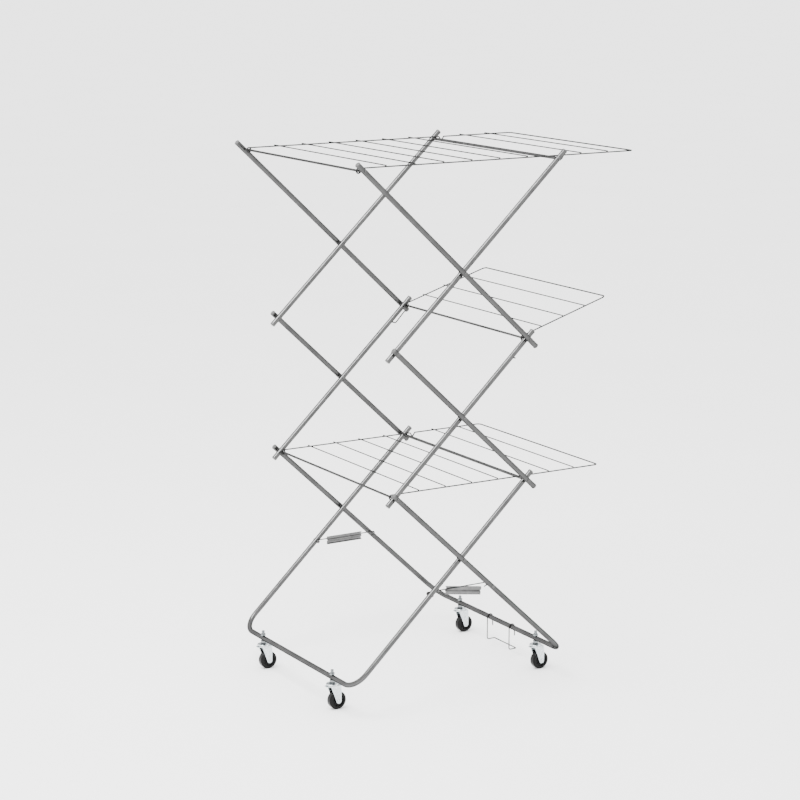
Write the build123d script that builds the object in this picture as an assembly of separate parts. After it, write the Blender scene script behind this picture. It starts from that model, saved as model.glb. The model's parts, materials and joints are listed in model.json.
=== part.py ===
from build123d import *
import os
from math import cos, radians, sin

# Folding clothes drying rack on four casters.
# X is the width that the scissor folds across, Y runs along the cross bars, Z is up.
# "Rising" tubes climb towards +X, "falling" tubes drop towards +X.
# "Near" is the -Y side, "far" is the +Y side.  All sizes are millimetres.

# ---------------------------------------------------------------- driving dimensions
tube_radius = 7.0
tube_wall = 1.0
arm_half = 280.0            # crossing to end pivot, along an arm
arm_slope = radians(43.27)  # slope of every tube when the rack stands open
top_reach = 411.0           # top crossing to the top bars
leg_reach = 449.0           # bottom crossing to the base bars
tube_tail = 26.0            # how far a tube runs on past its end pivot
short_tail = 14.0           # the same, for falling tubes that end at a left joint
base_bend = 50.0            # centreline radius of the base bends
inner_plane = 314.0         # Y of the rising tubes' axes
outer_plane = 330.0         # Y of the falling tubes' axes
base_height = 90.0          # base bars' axes above the floor

pin_radius = 3.0
running_gap = 0.05          # radial clearance of a pin in its hole
head_radius = 5.5
head_height = 2.4
thick_bar_radius = 4.0
spacer_radius = 6.5
spacer_gap = 0.2

cap_radius = 7.5
cap_height = 4.0
plug_length = 9.0

rail_radius = 1.8
wire_radius = 1.5
rail_plane = 299.0          # Y of the shelf side rails
rail_lift = 6.1             # rail axis above the axis of the bar it rests on
corner_bend = 12.0
kink_offset = 20.0          # bar axis to the middle of the stop kink
kink_width = 16.0
kink_depth = 12.0
top_first = 80.0            # left bar to the first hanging wire
top_pitch = 86.0            # spacing of the hanging wires
top_wires_to_bar = 7        # the second bar takes the place of this wire
top_wire_count = 10
lower_first = 82.5
lower_pitch = 82.5
lower_wires_to_bar = 5
lower_wire_count = 8
middle_first = 62.0
middle_pitch = 73.5
middle_wire_count = 4
middle_slope = radians(17.2)
tail_length = 60.0
eye_radius = 2.0            # section radius of the eyes, a little more than the rails

stay_reach = 126.0          # bottom crossing to the stay's pivot, along a leg
stay_pin_radius = 2.5
stay_wire_lift = 4.3
stay_wire_plane = 302.0
grip_starts = {-1: 56.0, 1: 28.0}    # stay pivot to the grip, near and far
grip_tilts = {-1: radians(9.0), 1: 0.0}
grip_length = 113.0
grip_height = 22.0
grip_depth = 6.0
sheet = 1.2

stem_radius = 4.0
stem_rise = 21.0            # stem top above the base bar's axis
stem_drop = 15.0            # stem bottom below it
nut_width = 13.0
nut_height = 5.0
caster_spread = 197.0       # casters' distance from the middle of a base bar
race_radius = 17.0
race_cup = 3.4              # height of the raceway's upper cup
race_slot = 1.2             # gap between the raceway's two halves
race_pan = 2.2              # height of its lower half
fork_plate = 2.0
fork_gap = 11.5             # middle of the wheel to the fork plates' inner faces
wheel_radius = 25.0
wheel_width = 20.0
wheel_trail = 13.0
axle_radius = 3.0

hanger_near = -77.0         # Y of the shoe hanger's two legs
hanger_far = 36.0
hanger_drop = 66.0
hanger_kick = 25.0
hanger_tail = 27.0

# ---------------------------------------------------------------- pivot places in XZ
rise_x = cos(arm_slope)
rise_z = sin(arm_slope)


def along(point, reach, direction):
    """Point at a signed reach from another, up a rising (+1) or a falling (-1) tube."""
    return (point[0] + direction * reach * rise_x, point[1] + reach * rise_z)


bottom_cross = (0.0, base_height + leg_reach * rise_z)
lower_left = along(bottom_cross, arm_half, -1)
lower_right = along(bottom_cross, arm_half, 1)
middle_cross = along(lower_left, arm_half, 1)
upper_left = along(middle_cross, arm_half, -1)
upper_right = along(middle_cross, arm_half, 1)
top_cross = along(upper_left, arm_half, 1)
top_left = along(top_cross, top_reach, -1)
top_right = along(top_cross, top_reach, 1)
left_base = along(bottom_cross, -leg_reach, 1)
right_base = along(bottom_cross, -leg_reach, -1)
stay_pivot = along(bottom_cross, -stay_reach, 1)
stay_catch = along(bottom_cross, -stay_reach, -1)

nodes = {}


# ---------------------------------------------------------------- shared shapes
def rod(start, end, radius, bore=0.0):
    """Round bar, or a tube when it has a bore, from one point to another."""
    run = Vector(*end) - Vector(*start)
    plane = Plane(origin=start, z_dir=run)
    solid = extrude(plane * Circle(radius), run.length)
    if bore:
        solid -= extrude(plane * Circle(bore), run.length)
    return solid


def cross_rod(point, y_start, y_end, radius, bore=0.0):
    """Round bar along Y through an XZ point."""
    return rod((point[0], y_start, point[1]), (point[0], y_end, point[1]), radius, bore)


def bent_rod(points, bend, radius, bore=0.0):
    """Round bar or tube along straight runs joined by tangent arcs."""
    path = FilletPolyline(*points, radius=bend)
    plane = Plane(origin=path @ 0, z_dir=path % 0)
    solid = sweep(plane * Circle(radius), path=path)
    if bore:
        solid -= sweep(plane * Circle(bore), path=path)
    return solid


def ring(point, y, major, minor):
    """Wire eye round a bar that lies along Y."""
    return Plane(origin=(point[0], y, point[1]), z_dir=(0, 1, 0)) * Torus(major, minor)


def pivot_hole(point, y, radius=pin_radius + running_gap):
    """Cutter for a hole along Y through one tube."""
    reach = tube_radius + 1.0
    return cross_rod(point, y - reach, y + reach, radius)


def straight_tube(low, high, y, holes):
    """Straight arm tube with its pivot holes."""
    tube = rod((low[0], y, low[1]), (high[0], y, high[1]), tube_radius, tube_radius - tube_wall)
    for hole in holes:
        tube -= pivot_hole(hole, y)
    return tube


def end_cap(point, y, direction_x, direction_z):
    """Plastic cap with a plug that fills the end of a tube."""
    plane = Plane(origin=(point[0], y, point[1]), z_dir=(direction_x, 0, direction_z))
    head = extrude(Circle(cap_radius), cap_height)
    head = fillet(head.edges().group_by(Axis.Z)[-1], cap_height * 0.6)
    plug = extrude(Circle(tube_radius - tube_wall - running_gap), -plug_length)
    return plane * (head + plug)


def button_head(point, y, side, radius=head_radius, height=head_height):
    """Domed rivet head standing outwards (side +1 is +Y) from a plane across Y."""
    head = extrude(Circle(radius), height)
    head = fillet(head.edges().group_by(Axis.Z)[-1], height * 0.8)
    return Plane(origin=(point[0], y, point[1]), z_dir=(0, side, 0)) * head


def rivet(point, side, inner_y, outer_y, radius=pin_radius):
    """Rivet along Y with a domed head at both ends, on one side of the rack."""
    shank = cross_rod(point, side * inner_y, side * outer_y, radius)
    return shank + button_head(point, side * inner_y, -side) + button_head(point, side * outer_y, side)


def cross_bar(point, outer_y, thick=0.0, thick_y=0.0):
    """Bar through both sides, headed at both ends, with an optional thicker middle."""
    bar = cross_rod(point, -outer_y, outer_y, pin_radius)
    if thick:
        bar += cross_rod(point, -thick_y, thick_y, thick)
    return bar + button_head(point, -outer_y, -1) + button_head(point, outer_y, 1)


def both_sides(make):
    """Near and far copies of something made for a side."""
    return [make(side) for side in (-1, 1)]


def spacers(points):
    """Washers that fill the gap between the rising and falling tubes."""
    inside = inner_plane + tube_radius + spacer_gap
    outside = outer_plane - tube_radius - spacer_gap
    return [
        cross_rod(point, side * inside, side * outside, spacer_radius, pin_radius + running_gap)
        for point in points
        for side in (-1, 1)
    ]


def add(name, solids):
    """Store the solids of one sub-part under its node name."""
    flat = [solid for shape in solids for solid in shape.solids()]
    nodes[name] = Compound(label=name, children=flat)


inner_face = inner_plane - tube_radius
outer_face = outer_plane + tube_radius
inner_tube_outside = inner_plane + tube_radius


# ---------------------------------------------------------------- base frames
def base_frame(base, top, y, tail, holes):
    """One tube bent into a U: two legs and the base bar between them."""
    direction = 1 if top[0] > base[0] else -1
    tip = along(top, tail, direction)
    points = [(tip[0], -y, tip[1]), (base[0], -y, base[1]), (base[0], y, base[1]), (tip[0], y, tip[1])]
    frame = bent_rod(points, base_bend, tube_radius, tube_radius - tube_wall)
    for hole, radius in holes:
        frame -= pivot_hole(hole, -y, radius)
        frame -= pivot_hole(hole, y, radius)
    for caster_y in (-caster_spread, caster_spread):
        low = (base[0], caster_y, base[1] - 2 * tube_radius)
        high = (base[0], caster_y, base[1] + 2 * tube_radius)
        frame -= rod(low, high, stem_radius + running_gap)
    return frame


def frame_caps(top, y, tail, direction):
    """Caps in the upper ends of a base frame."""
    tip = along(top, tail, direction)
    return both_sides(lambda side: end_cap(tip, side * y, direction * rise_x, rise_z))


pivot_size = pin_radius + running_gap
stay_size = stay_pin_radius + running_gap
left_holes = [(bottom_cross, pivot_size), (lower_right, pivot_size), (stay_pivot, stay_size)]
right_holes = [(bottom_cross, pivot_size), (lower_left, pivot_size), (stay_catch, stay_size)]
add("left_base_frame", [base_frame(left_base, lower_right, inner_plane, tube_tail, left_holes)])
add("left_frame_caps", frame_caps(lower_right, inner_plane, tube_tail, 1))
add("bottom_cross_rivets", both_sides(lambda side: rivet(bottom_cross, side, inner_face, outer_face)))
add("bottom_cross_spacers", spacers([bottom_cross]))
add("right_base_frame", [base_frame(right_base, lower_left, outer_plane, short_tail, right_holes)])
add("right_frame_caps", frame_caps(lower_left, outer_plane, short_tail, -1))
add("lower_left_bar", [cross_bar(lower_left, outer_face)])
add("lower_left_spacers", spacers([lower_left]))


# ---------------------------------------------------------------- scissor arms
def arm_pair(prefix, low, high, direction, y, high_tail, holes):
    """Near and far arm tubes of one scissor stage, with a cap in each end."""
    foot = along(low, -tube_tail, direction)
    tip = along(high, high_tail, direction)
    add(prefix + "_arm_near", [straight_tube(foot, tip, -y, holes)])
    add(prefix + "_arm_far", [straight_tube(foot, tip, y, holes)])
    caps = both_sides(lambda side: end_cap(tip, side * y, direction * rise_x, rise_z))
    caps += both_sides(lambda side: end_cap(foot, side * y, -direction * rise_x, -rise_z))
    add(prefix + "_caps", caps)


arm_pair("middle_rising", lower_left, upper_right, 1, inner_plane, tube_tail,
         [lower_left, middle_cross, upper_right])
arm_pair("middle_falling", lower_right, upper_left, -1, outer_plane, short_tail,
         [lower_right, middle_cross, upper_left])
arm_pair("top_rising", upper_left, top_right, 1, inner_plane, tube_tail,
         [upper_left, top_cross, top_right])
arm_pair("top_falling", upper_right, top_left, -1, outer_plane, tube_tail,
         [upper_right, top_cross, top_left])

thick_end = inner_face - 0.5
add("middle_cross_rivets", both_sides(lambda side: rivet(middle_cross, side, inner_face, outer_face)))
add("middle_rising_spacers", spacers([middle_cross, upper_right]))
add("upper_right_bar", [cross_bar(upper_right, outer_face)])
add("lower_right_bar", [cross_bar(lower_right, outer_face, thick_bar_radius, thick_end)])
add("upper_left_rivets", both_sides(lambda side: rivet(upper_left, side, inner_face, outer_face)))
add("middle_falling_spacers", spacers([lower_right, upper_left]))
add("top_cross_rivets", both_sides(lambda side: rivet(top_cross, side, inner_face, outer_face)))
add("top_cross_spacers", spacers([top_cross]))
add("top_right_bar", [cross_bar(top_right, inner_tube_outside, thick_bar_radius, thick_end)])
add("top_left_bar", [cross_bar(top_left, outer_face)])


# ---------------------------------------------------------------- wire shelves
def kinked_rail(bar, length, kink_at, y):
    """Side rail: an eye round its bar, a straight run and a V kink that stops on the other bar."""
    height = bar[1] + rail_lift
    bends = [
        (bar[0], y, height),
        (bar[0] + kink_at - kink_width / 2, y, height),
        (bar[0] + kink_at, y, height - kink_depth),
        (bar[0] + kink_at + kink_width / 2, y, height),
        (bar[0] + length - corner_bend, y, height),
    ]
    return bent_rod(bends, 2.5, rail_radius) + ring(bar, y, rail_lift, eye_radius)


def end_wire(x, z, slope, length):
    """Last wire of a shelf, bent round at both corners to meet the side rails."""
    back = length - corner_bend
    ends = [(x + reach * cos(slope), z + reach * sin(slope)) for reach in (back, length)]
    points = [
        (ends[0][0], -rail_plane, ends[0][1]),
        (ends[1][0], -rail_plane, ends[1][1]),
        (ends[1][0], rail_plane, ends[1][1]),
        (ends[0][0], rail_plane, ends[0][1]),
    ]
    return bent_rod(points, corner_bend * 0.95, rail_radius)


def flat_shelf(prefix, bar, rest, first, pitch, wire_count, wires_to_bar):
    """Level shelf hinged on its left bar and resting on its right one."""
    length = first + pitch * (wire_count - 1)
    kink_at = rest[0] - bar[0] + kink_offset
    add(prefix + "_rails", both_sides(lambda side: kinked_rail(bar, length, kink_at, side * rail_plane)))
    height = bar[1] + rail_lift + rail_radius + wire_radius
    reach = rail_plane + rail_radius
    wires = [
        cross_rod((bar[0] + first + pitch * step, height), -reach, reach, wire_radius)
        for step in range(wire_count - 1)
        if step != wires_to_bar - 1
    ]
    add(prefix + "_wires", wires + [end_wire(bar[0], bar[1] + rail_lift, 0.0, length)])


def tilted(bar, reach, lift):
    """XZ point at a reach along the middle shelf and a lift square to it."""
    x = bar[0] + reach * cos(middle_slope) - lift * sin(middle_slope)
    return (x, bar[1] + reach * sin(middle_slope) + lift * cos(middle_slope))


def tilted_rail(bar, length, y):
    """Side rail of the middle shelf, with an eye round the bar."""
    start = tilted(bar, 0.0, rail_lift)
    end = tilted(bar, length - corner_bend, rail_lift)
    rail = rod((start[0], y, start[1]), (end[0], y, end[1]), rail_radius)
    return rail + ring(bar, y, rail_lift, eye_radius)


def rail_tail(bar, side):
    """Tail that runs down beside the rising arm and hooks under it to hold the shelf up."""
    under_arm = tube_radius + 0.3 + rail_radius
    y = side * rail_plane
    start = (bar[0] + rail_lift * rise_z, bar[1] - rail_lift * rise_x)
    foot = along(bar, -tail_length, 1)
    foot = (foot[0] + under_arm * rise_z, foot[1] - under_arm * rise_x)
    hook_y = side * (inner_plane + 5.0)
    points = [(start[0], y, start[1]), (foot[0], y, foot[1]), (foot[0], hook_y, foot[1])]
    return bent_rod(points, 5.0, rail_radius)


def middle_shelf(bar):
    """Short shelf cantilevered from its bar and tilted upwards."""
    length = middle_first + middle_pitch * (middle_wire_count - 1)
    rails = both_sides(lambda side: tilted_rail(bar, length, side * rail_plane) + rail_tail(bar, side))
    add("middle_shelf_rails", rails)
    reach = rail_plane + rail_radius
    lift = rail_lift + rail_radius + wire_radius
    wires = [
        cross_rod(tilted(bar, middle_first + middle_pitch * step, lift), -reach, reach, wire_radius)
        for step in range(middle_wire_count - 1)
    ]
    start = tilted(bar, 0.0, rail_lift)
    add("middle_shelf_wires", wires + [end_wire(start[0], start[1], middle_slope, length)])


flat_shelf("top_shelf", top_left, top_right, top_first, top_pitch, top_wire_count, top_wires_to_bar)
flat_shelf("lower_shelf", lower_left, lower_right, lower_first, lower_pitch, lower_wire_count, lower_wires_to_bar)
middle_shelf(upper_right)


# ---------------------------------------------------------------- locking stays
def stay_wire(side):
    """Wire link: an eye on the rising leg's rivet and an open hook on the falling leg's catch."""
    y = side * stay_wire_plane
    lift = stay_wire_lift
    height = stay_pivot[1]
    end = stay_catch[0]
    straight = rod((stay_pivot[0], y, height + lift), (end, y, height + lift), wire_radius)
    bend = Plane(origin=(end, y, height), z_dir=(0, -1, 0)) * Torus(lift, wire_radius)
    bend &= Pos(end + lift, y, height) * Box(2 * lift, 4 * wire_radius, 4 * lift)
    lip = rod((end, y, height - lift), (end - 7.0, y, height - lift - 2.5), wire_radius)
    return straight + bend + lip + ring(stay_pivot, y, lift, wire_radius)


def stay_grip(side):
    """Pressed sheet grip with rolled edges and a bead along its middle."""
    face = stay_wire_plane - wire_radius - 0.2
    half = grip_height / 2
    web = Pos(0, -sheet / 2) * Rectangle(grip_height, sheet)
    lips = [Pos(x, -grip_depth / 2) * Rectangle(sheet, grip_depth) for x in (sheet / 2 - half, half - sheet / 2)]
    bead = Pos(0, -sheet) * Circle(3.6)
    bead &= Pos(0, -sheet - 5.0) * Rectangle(10.0, 10.0)
    hollow = Circle(2.4)
    profile = (web + lips + bead) - Pos(0, -sheet) * hollow
    tilt = grip_tilts[side]
    plane = Plane(
        origin=(stay_pivot[0] + grip_starts[side], side * face, stay_pivot[1]),
        x_dir=(-side * sin(tilt), 0, -side * cos(tilt)),
        z_dir=(cos(tilt), 0, -sin(tilt)),
    )
    return extrude(plane * profile, grip_length)


for side, place in ((-1, "near"), (1, "far")):
    add("stay_wire_" + place, [stay_wire(side)])
    add("stay_grip_" + place, [stay_grip(side)])


def stay_rivet(side):
    """Rivet that a stay turns on, through the rising leg."""
    inside = stay_wire_plane - wire_radius - 0.2
    shank = cross_rod(stay_pivot, side * inside, side * inner_tube_outside, stay_pin_radius)
    inner_head = button_head(stay_pivot, side * inside, -side, 5.0, 1.8)
    return shank + inner_head + button_head(stay_pivot, side * inner_tube_outside, side, 5.0, 1.6)


def stay_pin(side):
    """Pin on the falling leg that a stay's hook catches."""
    inside = stay_wire_plane - wire_radius + 0.1
    shank = cross_rod(stay_catch, side * inside, side * outer_face, stay_pin_radius)
    return shank + button_head(stay_catch, side * outer_face, side, 5.0, 1.8)


add("stay_rivets", both_sides(stay_rivet))
add("stay_catch_pins", both_sides(stay_pin))


# ---------------------------------------------------------------- casters
def hex_nut(x, y, z):
    """Chamfered hex nut on a stem, standing up from z."""
    nut = extrude(RegularPolygon(nut_width / 2, 6, major_radius=False), nut_height)
    blank = Cone(nut_width * 0.95, nut_width * 0.42, nut_height * 2.2, align=(Align.CENTER, Align.CENTER, Align.MIN))
    nut &= Pos(0, 0, -nut_height * 0.7) * blank
    nut -= extrude(Circle(stem_radius + running_gap), nut_height)
    return Pos(x, y, z) * nut


def frame_stems(prefix, base):
    """Threaded caster stems with a nut above and below the base bar."""
    stems = []
    nuts = []
    for y in (-caster_spread, caster_spread):
        low = (base[0], y, base[1] - stem_drop)
        stem = rod(low, (base[0], y, base[1] + stem_rise), stem_radius)
        flange_top = base[1] - stem_drop
        stem += rod((base[0], y, flange_top - 1.5), (base[0], y, flange_top), 8.0)
        stems.append(stem)
        nuts.append(hex_nut(base[0], y, base[1] + tube_radius + 0.1))
        nuts.append(hex_nut(base[0], y, base[1] - tube_radius - 0.1 - nut_height))
    add(prefix + "_stems", stems)
    add(prefix + "_nuts", nuts)


def fork_leg(axle, top, y_in, y_out):
    """Teardrop side plate from the crown down to the axle."""
    plane = Plane(origin=(0, y_in, 0), x_dir=(1, 0, 0), z_dir=(0, 1 if y_out > y_in else -1, 0))
    flip = 1 if plane.y_dir.Z > 0 else -1
    eye = Pos(axle[0], flip * axle[1]) * Circle(7.5)
    shoulder = [Pos(x, flip * (top - 2.0)) * Circle(2.0) for x in (-7.0, 19.0)]
    outline = make_hull((Sketch() + eye + shoulder).edges())
    return extrude(plane * outline, abs(y_out - y_in))


def caster(name, base, y):
    """Swivel fork, axle and wheel of one caster, trailing towards +X."""
    top = -stem_drop - 1.5 - 0.3
    axle = (wheel_trail, wheel_radius - base_height)
    slot_top = top - race_cup
    pan_top = slot_top - race_slot
    crown_top = pan_top - race_pan
    cup = Pos(0, 0, top - race_cup / 2) * Cylinder(race_radius, race_cup)
    cup = fillet(cup.edges().group_by(Axis.Z)[-1], 2.4)
    neck = Pos(0, 0, slot_top - race_slot / 2) * Cylinder(race_radius - 3.5, race_slot + 0.4)
    pan = Pos(0, 0, pan_top - race_pan / 2) * Cylinder(race_radius - 1.0, race_pan)
    ear = Pos(-13.0, 0, crown_top) * Box(14.0, 14.0, 2.0)
    outside = fork_gap + fork_plate
    crown = Pos(6.0, 0, crown_top) * Box(30.0, 2 * outside, 2.0)
    legs = [fork_leg(axle, crown_top + 1.0, s * fork_gap, s * outside) for s in (-1, 1)]
    fork = cup + neck + pan + ear + crown + legs[0] + legs[1]
    hole = rod((axle[0], -outside - 1, axle[1]), (axle[0], outside + 1, axle[1]), axle_radius + running_gap)
    fork -= hole
    place = Pos(base[0], y, base[1])
    add(name + "_fork", [place * fork])
    pin = rod((axle[0], -outside - 0.1, axle[1]), (axle[0], outside + 0.1, axle[1]), axle_radius)
    pin += button_head(axle, -outside - 0.1, -1, 4.6, 1.8) + button_head(axle, outside + 0.1, 1, 4.6, 1.8)
    add(name + "_axle", [place * pin])
    add(name + "_wheel", [place * Pos(axle[0], 0, axle[1]) * wheel()])


def wheel():
    """Moulded wheel with a crowned tread, dished sides and a hub bored for the axle."""
    half = wheel_width / 2
    tyre = Cylinder(wheel_radius, wheel_width)
    tyre = fillet(tyre.edges(), 4.2)
    for end in (-1, 1):
        dish = Pos(0, 0, end * half) * Cylinder(16.5, 5.0)
        tyre -= dish - Pos(0, 0, end * half) * Cylinder(6.5, 5.0)
    tyre -= Cylinder(axle_radius + running_gap, wheel_width)
    return Rot(90, 0, 0) * tyre


frame_stems("left_caster", left_base)
frame_stems("right_caster", right_base)
for prefix, base in (("left", left_base), ("right", right_base)):
    for place, y in (("near", -caster_spread), ("far", caster_spread)):
        caster(prefix + "_" + place, base, y)


# ---------------------------------------------------------------- shoe hanger
def shoe_hanger():
    """Bent wire hung over the right base bar: two hooks, two legs and a kicked-out cross piece."""
    loop = tube_radius + 0.3 + wire_radius
    leg_x = right_base[0] - loop
    axis_z = right_base[1]
    bottom = axis_z - hanger_drop
    points = [
        (leg_x, hanger_near, axis_z),
        (leg_x, hanger_near, bottom),
        (leg_x + hanger_kick, hanger_near, bottom),
        (leg_x + hanger_kick, hanger_far, bottom),
        (leg_x, hanger_far, bottom),
        (leg_x, hanger_far, axis_z),
    ]
    form = bent_rod(points, 5.0, wire_radius)
    for y in (hanger_near, hanger_far):
        over = ring(right_base, y, loop, wire_radius)
        over &= Pos(right_base[0], y, axis_z + loop) * Box(4 * loop, 4 * wire_radius, 2 * loop)
        tail = rod((leg_x + 2 * loop, y, axis_z), (leg_x + 2 * loop + 1.0, y, axis_z - hanger_tail), wire_radius)
        form += over + tail
    return form


add("shoe_hanger", [shoe_hanger()])

# ---------------------------------------------------------------- one origin, then export
# The origin is the middle of the rack's outline on the floor.
boxes = [shape.bounding_box() for shape in nodes.values()]
shift_x = -(min(box.min.X for box in boxes) + max(box.max.X for box in boxes)) / 2
shift_z = -min(box.min.Z for box in boxes)

os.makedirs("parts", exist_ok=True)
for name, shape in nodes.items():
    export_step(Pos(shift_x, 0, shift_z) * shape, "parts/" + name + ".step")
print(len(nodes), "sub-parts, shift", round(shift_x, 3), round(shift_z, 3))
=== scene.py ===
import json
import math

import bmesh
import bpy
from mathutils import Matrix, Vector


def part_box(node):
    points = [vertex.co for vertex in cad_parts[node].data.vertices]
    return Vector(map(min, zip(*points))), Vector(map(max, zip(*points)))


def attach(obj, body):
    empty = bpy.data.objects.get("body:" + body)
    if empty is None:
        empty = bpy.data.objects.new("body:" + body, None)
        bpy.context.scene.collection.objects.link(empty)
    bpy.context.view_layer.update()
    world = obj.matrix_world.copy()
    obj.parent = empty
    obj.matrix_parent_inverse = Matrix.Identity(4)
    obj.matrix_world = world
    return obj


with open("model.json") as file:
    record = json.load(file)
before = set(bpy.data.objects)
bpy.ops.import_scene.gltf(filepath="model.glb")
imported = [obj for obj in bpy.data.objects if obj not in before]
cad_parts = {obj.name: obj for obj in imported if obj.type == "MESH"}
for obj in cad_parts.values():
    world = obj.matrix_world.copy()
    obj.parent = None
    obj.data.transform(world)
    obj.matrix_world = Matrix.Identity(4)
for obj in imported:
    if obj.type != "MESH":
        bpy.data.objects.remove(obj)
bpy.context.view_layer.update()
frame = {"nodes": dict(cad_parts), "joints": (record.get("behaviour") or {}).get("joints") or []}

# ------------------------------------------------------------ the rack's own measures, in metres
joints = {joint["name"]: joint for joint in frame["joints"]}


def joint_place(name):
    """Where a joint sits at rest."""
    return Vector(joints[name]["pos_m"])


def node_box(name):
    """Lowest and highest corner of a CAD node."""
    low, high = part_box(name)
    return Vector(low), Vector(high)


lower_left = joint_place("middle_rising_pivot")
upper_right = joint_place("top_falling_pivot")
scissor_middle = (lower_left + upper_right) / 2
rise = upper_right - lower_left
arm_slope = math.atan2(rise.z, rise.x)
floor_height = 0.0
rail_radius = 0.0018        # of a shelf's side rails
rail_plane = node_box("top_shelf_rails")[1].y - rail_radius
frame_sides = ("left", "right")
caster_names = [frame_side + "_" + side for frame_side in frame_sides for side in ("near", "far")]


# ------------------------------------------------------------ node helpers
def new_material(name):
    """Empty node material with its Principled shader."""
    material = bpy.data.materials.new(name)
    material.use_nodes = True
    shader = material.node_tree.nodes["Principled BSDF"]
    return material, material.node_tree, shader


def add_node(tree, kind, inputs=None, **settings):
    """Shader or geometry node with its settings and unlinked inputs."""
    node = tree.nodes.new(kind)
    for key, value in settings.items():
        setattr(node, key, value)
    for key, value in (inputs or {}).items():
        node.inputs[key].default_value = value
    return node


def object_coordinates(tree, turn=(0, 0, 0), stretch=(1, 1, 1)):
    """Object coordinates turned so a pattern lies along a tube, then stretched."""
    source = add_node(tree, "ShaderNodeTexCoord")
    turned = add_node(tree, "ShaderNodeMapping", {"Rotation": turn})
    scaled = add_node(tree, "ShaderNodeMapping", {"Scale": stretch})
    tree.links.new(source.outputs["Object"], turned.inputs["Vector"])
    tree.links.new(turned.outputs["Vector"], scaled.inputs["Vector"])
    return scaled.outputs["Vector"]


def noise(tree, vector, scale, detail=3.0, roughness=0.5):
    """Noise value on a vector."""
    node = add_node(tree, "ShaderNodeTexNoise", {"Scale": scale, "Detail": detail, "Roughness": roughness})
    tree.links.new(vector, node.inputs["Vector"])
    return node.outputs["Fac"]


def ramp(tree, value, stops):
    """Colour ramp through (place, colour) stops."""
    node = add_node(tree, "ShaderNodeValToRGB")
    elements = node.color_ramp.elements
    while len(elements) < len(stops):
        elements.new(0.5)
    for element, (place, colour) in zip(elements, stops):
        element.position = place
        element.color = (*colour, 1.0)
    tree.links.new(value, node.inputs["Fac"])
    return node.outputs["Color"]


def span(tree, value, low, high):
    """Value from 0..1 spread over low..high."""
    node = add_node(tree, "ShaderNodeMapRange", {"To Min": low, "To Max": high})
    tree.links.new(value, node.inputs["Value"])
    return node.outputs["Result"]


def bump(tree, shader, height, distance, strength):
    """Bump from a height value, onto the shader's normal."""
    node = add_node(tree, "ShaderNodeBump", {"Distance": distance, "Strength": strength})
    tree.links.new(height, node.inputs["Height"])
    tree.links.new(node.outputs["Normal"], shader.inputs["Normal"])


def grey(value):
    """Neutral colour."""
    return (value, value, value)


def multiplied(tree, first, second):
    """Product of two colours."""
    node = add_node(tree, "ShaderNodeMix", {"Factor": 1.0}, data_type="RGBA", blend_type="MULTIPLY")
    tree.links.new(first, node.inputs["A"])
    tree.links.new(second, node.inputs["B"])
    return node.outputs["Result"]


def bare_metal(shader, rim_shade_tint):
    """Make a shader metallic, with its edges no brighter than a tint, a grey that paints shade on its
    rims.
    """
    shader.inputs["Metallic"].default_value = 1.0
    # Grey edge tint: painted shade that darkens the rims.
    shader.inputs["Specular Tint"].default_value = (*grey(rim_shade_tint), 1.0)


# ------------------------------------------------------------ finishes
def drawn_steel(name, turn, light, dark, rough_low, rough_high):
    """Stainless tube or wire: fine draw lines along it, faint smears and handling marks, darker rims
    painted as shade by the edge tint.
    """
    material, tree, shader = new_material(name)
    along_lines = object_coordinates(tree, turn, stretch=(6.0, 900.0, 900.0))
    along_marks = object_coordinates(tree, turn, stretch=(140.0, 700.0, 700.0))
    lines = noise(tree, along_lines, scale=1.0, detail=4.0, roughness=0.6)
    smears = noise(tree, object_coordinates(tree, turn), scale=22.0, detail=5.0, roughness=0.62)
    marks = noise(tree, along_marks, scale=1.0, detail=3.0, roughness=0.7)
    middle = (light + dark) / 2
    colour = ramp(tree, smears, [(0.3, grey(dark)), (0.52, grey(middle)), (0.75, grey(light))])
    streaks = ramp(tree, lines, [(0.35, grey(0.88)), (0.65, grey(1.0))])
    wear = ramp(tree, marks, [(0.28, grey(0.72)), (0.36, grey(1.0))])
    worn = multiplied(tree, multiplied(tree, colour, streaks), wear)
    tree.links.new(worn, shader.inputs["Base Color"])
    tree.links.new(span(tree, smears, rough_low, rough_high), shader.inputs["Roughness"])
    bump(tree, shader, lines, distance=0.00005, strength=0.12)
    # Dark edge tint: painted shade on the rims.
    bare_metal(shader, rim_shade_tint=0.3)
    return material


def pressed_sheet():
    """Rolled stainless sheet with short rolling lines and a slightly dulled face."""
    material, tree, shader = new_material("pressed_sheet_steel")
    lines = noise(tree, object_coordinates(tree, stretch=(25.0, 700.0, 1100.0)), scale=1.0, detail=3.0)
    clouds = noise(tree, object_coordinates(tree), scale=60.0, detail=4.0)
    colour = ramp(tree, clouds, [(0.3, grey(0.09)), (0.7, grey(0.15))])
    tree.links.new(colour, shader.inputs["Base Color"])
    tree.links.new(span(tree, clouds, 0.24, 0.38), shader.inputs["Roughness"])
    bump(tree, shader, lines, distance=0.00008, strength=0.25)
    # Dark edge tint: painted shade on the rims.
    bare_metal(shader, rim_shade_tint=0.35)
    return material


def zinc_plate(name, light, dark):
    """Blue-white zinc plate with the soft mottling of a barrel-plated pressing."""
    material, tree, shader = new_material(name)
    mottle = noise(tree, object_coordinates(tree), scale=180.0, detail=5.0, roughness=0.65)
    grain = noise(tree, object_coordinates(tree), scale=1400.0, detail=2.0)
    shades = ((0.3, dark), (0.5, (dark + light) / 2), (0.72, light))
    stops = [(place, (value * 0.93, value, value * 1.03)) for place, value in shades]
    tree.links.new(ramp(tree, mottle, stops), shader.inputs["Base Color"])
    tree.links.new(span(tree, mottle, 0.16, 0.34), shader.inputs["Roughness"])
    bump(tree, shader, grain, distance=0.0001, strength=0.2)
    # Dark edge tint: painted shade on the rims.
    bare_metal(shader, rim_shade_tint=0.35)
    return material


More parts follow.
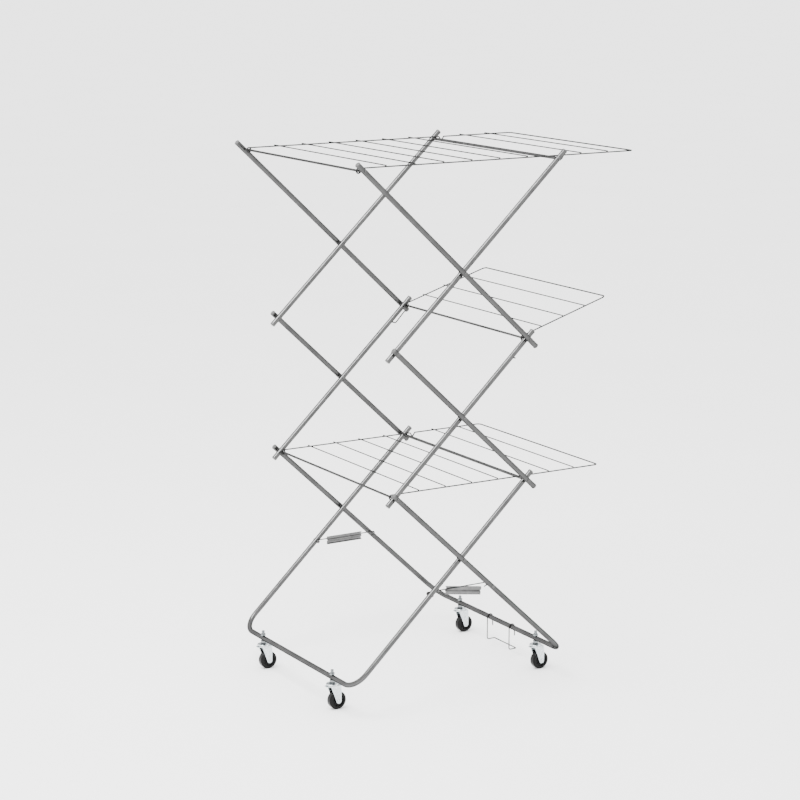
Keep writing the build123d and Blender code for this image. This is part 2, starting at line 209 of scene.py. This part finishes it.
def glossy_black():
    """Hard moulded wheel plastic: deep black, glossy, with scuffed dull patches."""
    material, tree, shader = new_material("moulded_black_wheel")
    scuff = noise(tree, object_coordinates(tree), scale=260.0, detail=6.0, roughness=0.7)
    dust = noise(tree, object_coordinates(tree), scale=1500.0, detail=2.0)
    colour = ramp(tree, scuff, [(0.5, grey(0.003)), (0.85, grey(0.014))])
    tree.links.new(colour, shader.inputs["Base Color"])
    tree.links.new(span(tree, scuff, 0.1, 0.3), shader.inputs["Roughness"])
    bump(tree, shader, dust, distance=0.00005, strength=0.15)
    shader.inputs["Specular IOR Level"].default_value = 0.1
    return material


def moulded_plastic(name, light, dark, rough_low, rough_high):
    """Satin injection-moulded plastic with a fine spark-eroded grain."""
    material, tree, shader = new_material(name)
    cloud = noise(tree, object_coordinates(tree), scale=90.0, detail=4.0)
    grain = noise(tree, object_coordinates(tree), scale=2200.0, detail=2.0)
    colour = ramp(tree, cloud, [(0.3, grey(dark)), (0.7, grey(light))])
    tree.links.new(colour, shader.inputs["Base Color"])
    tree.links.new(span(tree, cloud, rough_low, rough_high), shader.inputs["Roughness"])
    bump(tree, shader, grain, distance=0.0001, strength=0.5)
    return material


along_rising = (0.0, arm_slope, 0.0)
along_falling = (0.0, -arm_slope, 0.0)
along_bars = (0.0, 0.0, math.pi / 2)
# Each finish has its lighter and darker shade, then its lowest and highest roughness.
finishes = {
    # The rising and falling tubes are one steel in two copies: the rising copy's lighter colour is painted
    # light, the falling copy's darker colour is painted shade.
    "rising_tube_lit": drawn_steel("steel_rising_tube", along_rising, 0.105, 0.065, 0.14, 0.24),
    "falling_tube_shaded": drawn_steel("steel_falling_tube", along_falling, 0.085, 0.056, 0.18, 0.3),
    "bar": drawn_steel("steel_cross_bar", along_bars, 0.1, 0.065, 0.2, 0.32),
    "wire": drawn_steel("steel_shelf_wire", along_bars, 0.05, 0.03, 0.2, 0.34),
    "weld": drawn_steel("steel_weld_bead", along_bars, 0.09, 0.05, 0.3, 0.45),
    "sheet": pressed_sheet(),
    "zinc": zinc_plate("bright_zinc_plate", 0.8, 0.4),
    "dull_zinc": zinc_plate("dull_zinc_stem", 0.26, 0.13),
    "black": glossy_black(),
    "cap": moulded_plastic("grey_end_cap", 0.06, 0.035, 0.34, 0.48),
    "washer": moulded_plastic("dark_nylon_washer", 0.05, 0.03, 0.4, 0.55),
}


def finish_of(node):
    """Which finish a CAD node takes."""
    if node.endswith("caps"):
        return "cap"
    if node.endswith("spacers"):
        return "washer"
    if node.endswith("wheel"):
        return "black"
    if "shelf" in node or node == "shoe_hanger" or node.startswith("stay_wire"):
        return "wire"
    if node.startswith("stay_grip"):
        return "sheet"
    if node.endswith(("stems", "nuts")):
        return "dull_zinc"
    if node.endswith(("fork", "axle")):
        return "zinc"
    if node.endswith(("bar", "rivets", "pins")):
        return "bar"
    # Rising and falling tubes take the lit and shaded copies of one steel, painted light and painted
    # shade.
    if node.startswith("left_base") or "rising" in node:
        return "rising_tube_lit"
    return "falling_tube_shaded"


for node_name, node_object in frame["nodes"].items():
    node_object.data.materials.clear()
    node_object.data.materials.append(finishes[finish_of(node_name)])


# ------------------------------------------------------------ geometry-node helpers
def node_group(name, sizes):
    """Geometry-node tree with one named input for each size, whole numbers as counts."""
    tree = bpy.data.node_groups.new(name, "GeometryNodeTree")
    tree.interface.new_socket("Geometry", in_out="INPUT", socket_type="NodeSocketGeometry")
    tree.interface.new_socket("Geometry", in_out="OUTPUT", socket_type="NodeSocketGeometry")
    for size, value in sizes.items():
        kind = "NodeSocketInt" if isinstance(value, int) else "NodeSocketFloat"
        tree.interface.new_socket(size, in_out="INPUT", socket_type=kind)
    return tree, tree.nodes.new("NodeGroupInput"), tree.nodes.new("NodeGroupOutput")


def finish_tree(tree, output, instances, material):
    """Close a tree with Realize Instances and Set Material."""
    realized = add_node(tree, "GeometryNodeRealizeInstances")
    painted = add_node(tree, "GeometryNodeSetMaterial", {"Material": material})
    tree.links.new(instances, realized.inputs["Geometry"])
    tree.links.new(realized.outputs["Geometry"], painted.inputs["Geometry"])
    tree.links.new(painted.outputs["Geometry"], output.inputs["Geometry"])


def points_mesh(name, points):
    """Mesh of loose vertices for a tree to stand its instances on."""
    mesh = bpy.data.meshes.new(name)
    mesh.from_pydata([tuple(point) for point in points], [], [])
    return mesh


def to_mesh(shape, name):
    """Mesh from a bmesh, which is then freed."""
    mesh = bpy.data.meshes.new(name)
    shape.to_mesh(mesh)
    shape.free()
    return mesh


def grown(name, tree, sizes, mesh, body):
    """Plain mesh piece made by running a tree on a mesh, riding on a body."""
    source = bpy.data.objects.new(name + "_source", mesh)
    bpy.context.scene.collection.objects.link(source)
    modifier = source.modifiers.new("tree", "NODES")
    modifier.node_group = tree
    for item in tree.interface.items_tree:
        if item.in_out == "INPUT" and item.name in sizes:
            modifier[item.identifier] = sizes[item.name]
    result = bpy.data.meshes.new_from_object(source.evaluated_get(bpy.context.evaluated_depsgraph_get()))
    bpy.data.objects.remove(source)
    result.name = name
    for polygon in result.polygons:
        polygon.use_smooth = True
    piece = bpy.data.objects.new(name, result)
    bpy.context.scene.collection.objects.link(piece)
    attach(piece, body)
    return piece


# ------------------------------------------------------------ weld beads under the shelf wires
def islands(node):
    """Lowest and highest corner of each separate solid in a CAD node."""
    mesh = frame["nodes"][node].data
    matrix = frame["nodes"][node].matrix_world
    owner = list(range(len(mesh.vertices)))

    def root(index):
        while owner[index] != index:
            owner[index] = owner[owner[index]]
            index = owner[index]
        return index

    same_place = {}
    for vertex in mesh.vertices:
        key = tuple(round(value, 6) for value in vertex.co)
        owner[vertex.index] = same_place.setdefault(key, vertex.index)
    for edge in mesh.edges:
        first, second = (root(index) for index in edge.vertices)
        owner[first] = second
    groups = {}
    for vertex in mesh.vertices:
        groups.setdefault(root(vertex.index), []).append(matrix @ vertex.co)
    return [
        (
            Vector(min(point[axis] for point in group) for axis in range(3)),
            Vector(max(point[axis] for point in group) for axis in range(3)),
        )
        for group in groups.values()
    ]


def bead_tree(sizes):
    """A flattened, slightly uneven bead on every point."""
    tree, source, output = node_group("weld_beads", sizes)
    bead = add_node(tree, "GeometryNodeMeshUVSphere", {"Segments": 14, "Rings": 9})
    tree.links.new(source.outputs["Bead Radius"], bead.inputs["Radius"])
    shape = add_node(tree, "ShaderNodeCombineXYZ", {"Y": 1.0})
    tree.links.new(source.outputs["Bead Length"], shape.inputs["X"])
    tree.links.new(source.outputs["Bead Height"], shape.inputs["Z"])
    shaped = add_node(tree, "GeometryNodeTransform")
    tree.links.new(bead.outputs["Mesh"], shaped.inputs["Geometry"])
    tree.links.new(shape.outputs["Vector"], shaped.inputs["Scale"])
    # Inputs 2 and 3 are the lowest and highest number.
    uneven = add_node(tree, "FunctionNodeRandomValue", {"Seed": 7, 2: 0.85, 3: 1.1}, data_type="FLOAT")
    placed = add_node(tree, "GeometryNodeInstanceOnPoints")
    tree.links.new(source.outputs["Geometry"], placed.inputs["Points"])
    tree.links.new(shaped.outputs["Geometry"], placed.inputs["Instance"])
    tree.links.new(uneven.outputs[1], placed.inputs["Scale"])
    finish_tree(tree, output, placed.outputs["Instances"], finishes["weld"])
    return tree


straight_width = 4 * rail_radius        # straight wires are narrower than this along X
bead_sink = 0.95                        # bead's drop below its wire's middle, in wire radii


def shelf_welds(shelf, tree, sizes):
    """Beads where each straight wire of a shelf crosses its two side rails."""
    wires = [box for box in islands(shelf + "_wires") if box[1].x - box[0].x < straight_width]
    middles = sorted(((low + high) / 2 for low, high in wires), key=lambda middle: middle.x)
    slope = math.atan2(middles[-1].z - middles[0].z, middles[-1].x - middles[0].x)
    wire_radius = (wires[0][1].x - wires[0][0].x) / 2
    sink = Vector((math.sin(slope), 0.0, -math.cos(slope))) * wire_radius * bead_sink
    points = [
        middle + sink + Vector((0.0, side * rail_plane, 0.0)) for middle in middles for side in (-1, 1)
    ]
    grown(shelf + "_weld_beads", tree, sizes, points_mesh(shelf + "_welds", points), shelf)


bead_sizes = {"Bead Radius": 0.00165, "Bead Length": 1.35, "Bead Height": 0.55}
weld_tree = bead_tree(bead_sizes)
for shelf_name in ("top_shelf", "middle_shelf", "lower_shelf"):
    shelf_welds(shelf_name, weld_tree, bead_sizes)


# ------------------------------------------------------------ threads on the caster stems
def thread_tree(sizes):
    """Helical ridge standing up from every point."""
    tree, source, output = node_group("stem_thread", sizes)
    helix = add_node(tree, "GeometryNodeCurveSpiral")
    for socket, size in (("Resolution", "Steps"), ("Rotations", "Turns"), ("Height", "Height")):
        tree.links.new(source.outputs[size], helix.inputs[socket])
    for socket in ("Start Radius", "End Radius"):
        tree.links.new(source.outputs["Stem Radius"], helix.inputs[socket])
    ridge = add_node(tree, "GeometryNodeCurvePrimitiveCircle", {"Resolution": 6})
    tree.links.new(source.outputs["Ridge"], ridge.inputs["Radius"])
    swept = add_node(tree, "GeometryNodeCurveToMesh", {"Fill Caps": True})
    tree.links.new(helix.outputs["Curve"], swept.inputs["Curve"])
    tree.links.new(ridge.outputs["Curve"], swept.inputs["Profile Curve"])
    placed = add_node(tree, "GeometryNodeInstanceOnPoints")
    tree.links.new(source.outputs["Geometry"], placed.inputs["Points"])
    tree.links.new(swept.outputs["Mesh"], placed.inputs["Instance"])
    finish_tree(tree, output, placed.outputs["Instances"], finishes["dull_zinc"])
    return tree


nut_top = node_box("left_caster_nuts")[1].z
stem_top = node_box("left_caster_stems")[1].z
thread_pitch = 0.00125
bare_tip = 0.001                        # stem left plain at its top
thread_lift = 0.0004                    # thread's start above the nut
thread_height = stem_top - nut_top - bare_tip
thread_sizes = {
    "Stem Radius": 0.004,
    "Ridge": 0.0003,
    "Height": thread_height,
    "Turns": thread_height / thread_pitch,
    "Steps": 20,
}
stem_tree = thread_tree(thread_sizes)
for frame_side in frame_sides:
    stems = [joint_place(name + "_swivel") for name in caster_names if name.startswith(frame_side)]
    feet = [Vector((place.x, place.y, nut_top + thread_lift)) for place in stems]
    mesh = points_mesh(frame_side + "_stems", feet)
    grown(frame_side + "_stem_threads", stem_tree, thread_sizes, mesh, frame_side + "_frame")


# ------------------------------------------------------------ ribs in the wheels, balls in the raceways
def ring_tree(name, sizes, material):
    """The source shape repeated round an axis, which leans back by a tilt, about a centre."""
    tree, source, output = node_group(name, sizes)
    circle = add_node(tree, "GeometryNodeMeshCircle")
    tree.links.new(source.outputs["Count"], circle.inputs["Vertices"])
    tree.links.new(source.outputs["Ring Radius"], circle.inputs["Radius"])
    index = add_node(tree, "GeometryNodeInputIndex")
    share = add_node(tree, "ShaderNodeMath", operation="DIVIDE")
    angle = add_node(tree, "ShaderNodeMath", {1: math.tau}, operation="MULTIPLY")
    turn = add_node(tree, "ShaderNodeCombineXYZ")
    tree.links.new(index.outputs["Index"], share.inputs[0])
    tree.links.new(source.outputs["Count"], share.inputs[1])
    tree.links.new(share.outputs["Value"], angle.inputs[0])
    tree.links.new(angle.outputs["Value"], turn.inputs["Z"])
    placed = add_node(tree, "GeometryNodeInstanceOnPoints")
    tree.links.new(circle.outputs["Mesh"], placed.inputs["Points"])
    tree.links.new(source.outputs["Geometry"], placed.inputs["Instance"])
    tree.links.new(turn.outputs["Vector"], placed.inputs["Rotation"])
    tilt = add_node(tree, "ShaderNodeCombineXYZ")
    centre = add_node(tree, "ShaderNodeCombineXYZ")
    moved = add_node(tree, "GeometryNodeTransform")
    tree.links.new(source.outputs["Tilt"], tilt.inputs["X"])
    for axis in "XYZ":
        tree.links.new(source.outputs["Centre " + axis], centre.inputs[axis])
    tree.links.new(placed.outputs["Instances"], moved.inputs["Geometry"])
    tree.links.new(tilt.outputs["Vector"], moved.inputs["Rotation"])
    tree.links.new(centre.outputs["Vector"], moved.inputs["Translation"])
    finish_tree(tree, output, moved.outputs["Geometry"], material)
    return tree


def rib_mesh(length, width, depth, face, chamfer):
    """Two chamfered ribs that lie along X, one on each face of a wheel whose axis is Z."""
    shape = bmesh.new()
    for side in (-1, 1):
        place = Matrix.Translation((0.0, 0.0, side * face)) @ Matrix.Diagonal((length, width, depth, 1.0))
        bmesh.ops.create_cube(shape, size=1.0, matrix=place)
    bmesh.ops.bevel(shape, geom=shape.edges[:], offset=chamfer, segments=2, affect="EDGES")
    return to_mesh(shape, "wheel_rib")


def ball_mesh(radius):
    """Bearing ball."""
    shape = bmesh.new()
    bmesh.ops.create_icosphere(shape, subdivisions=2, radius=radius)
    return to_mesh(shape, "race_ball")


def ring_sizes(count, radius, tilt, centre):
    """Inputs of a ring tree."""
    places = {"Centre " + axis: float(value) for axis, value in zip("XYZ", centre)}
    return {"Count": count, "Ring Radius": radius, "Tilt": tilt, **places}


hub_radius = 0.0065
dish_radius = 0.0165
dish_depth = 0.0025
rib_count = 10
rib_overlap = 0.0006                    # rib's length beyond the dish, into hub and rim
rib_width = 0.0013
rib_depth = 0.0019
rib_lift = 0.0009                       # rib's middle above the dish's floor
rib_chamfer = 0.0003
ball_count = 44
ball_radius = 0.00058
ball_circle = 0.0148
race_drop = 0.0168                      # base bar's axis down to the raceway's top
race_cup = 0.0034
half_slot = 0.0006
slot_drop = race_drop + race_cup + half_slot
base_bar_height = (node_box("left_caster_nuts")[0].z + nut_top) / 2
for caster_name in caster_names:
    wheel_low, wheel_high = node_box(caster_name + "_wheel")
    half_width = (wheel_high.y - wheel_low.y) / 2
    wheel_middle = (wheel_low + wheel_high) / 2
    rib_length = dish_radius - hub_radius + rib_overlap
    rib_face = half_width - dish_depth + rib_lift
    rib = rib_mesh(rib_length, rib_width, rib_depth, rib_face, rib_chamfer)
    rib_sizes = ring_sizes(rib_count, (hub_radius + dish_radius) / 2, math.pi / 2, wheel_middle)
    rib_tree = ring_tree(caster_name + "_ribs", rib_sizes, finishes["black"])
    grown(caster_name + "_wheel_ribs", rib_tree, rib_sizes, rib, caster_name + "_wheel")
    swivel = joint_place(caster_name + "_swivel")
    race_middle = (swivel.x, swivel.y, base_bar_height - slot_drop)
    race_sizes = ring_sizes(ball_count, ball_circle, 0.0, race_middle)
    race_tree = ring_tree(caster_name + "_race", race_sizes, finishes["dull_zinc"])
    ball = ball_mesh(ball_radius)
    grown(caster_name + "_race_balls", race_tree, race_sizes, ball, caster_name + "_fork")


# ------------------------------------------------------------ floor, light and camera
def pale_floor():
    """Wide matt white floor with the faintest unevenness."""
    material, tree, shader = new_material("pale_floor")
    cloud = noise(tree, object_coordinates(tree), scale=1.5, detail=3.0)
    colour = ramp(tree, cloud, [(0.3, grey(0.93)), (0.7, grey(0.95))])
    tree.links.new(colour, shader.inputs["Base Color"])
    shader.inputs["Roughness"].default_value = 0.85
    bpy.ops.mesh.primitive_plane_add(size=600.0, location=(0, 0, floor_height))
    floor = bpy.context.active_object
    floor.name = "floor"
    floor.data.materials.append(material)


def soft_panel(name, place, aim, width, height, power):
    """Rectangular soft light that faces a point."""
    data = bpy.data.lights.new(name, "AREA")
    data.shape = "RECTANGLE"
    data.size = width
    data.size_y = height
    data.energy = power
    light = bpy.data.objects.new(name, data)
    light.location = place
    light.rotation_euler = (Vector(aim) - Vector(place)).to_track_quat("-Z", "Y").to_euler()
    bpy.context.scene.collection.objects.link(light)


def studio_light():
    """Even white surroundings with one soft panel, high on the left, that streaks the rising tubes."""
    world = bpy.data.worlds.new("studio")
    bpy.context.scene.world = world
    world.use_nodes = True
    background = world.node_tree.nodes["Background"]
    background.inputs["Color"].default_value = (1.0, 1.0, 1.0, 1.0)
    background.inputs["Strength"].default_value = 3.3
    panel_place = (-2.0, -0.5, 4.2)
    soft_panel("key_panel", panel_place, scissor_middle, width=2.0, height=2.0, power=300.0)


def front_camera():
    """Long-lens camera a little above and to the left of the rack's front."""
    yaw = math.radians(31.0)
    pitch = math.radians(12.03)
    distance = 6.32
    lens_to_width = 2.881
    aim_right = 0.0017                  # aim beside and above the scissor's middle
    aim_up = -0.0093
    forward = Vector((math.sin(yaw) * math.cos(pitch), math.cos(yaw) * math.cos(pitch), -math.sin(pitch)))
    right = Vector((math.cos(yaw), -math.sin(yaw), 0.0))
    up = right.cross(forward)
    data = bpy.data.cameras.new("camera")
    sensor_width = 36.0                 # in millimetres, as the lens is
    data.sensor_width = sensor_width
    data.lens = sensor_width * lens_to_width
    camera = bpy.data.objects.new("camera", data)
    camera.location = scissor_middle + right * aim_right + up * aim_up - forward * distance
    camera.rotation_euler = Matrix((right, up, -forward)).transposed().to_euler()
    bpy.context.scene.collection.objects.link(camera)
    bpy.context.scene.camera = camera


pale_floor()
studio_light()
front_camera()
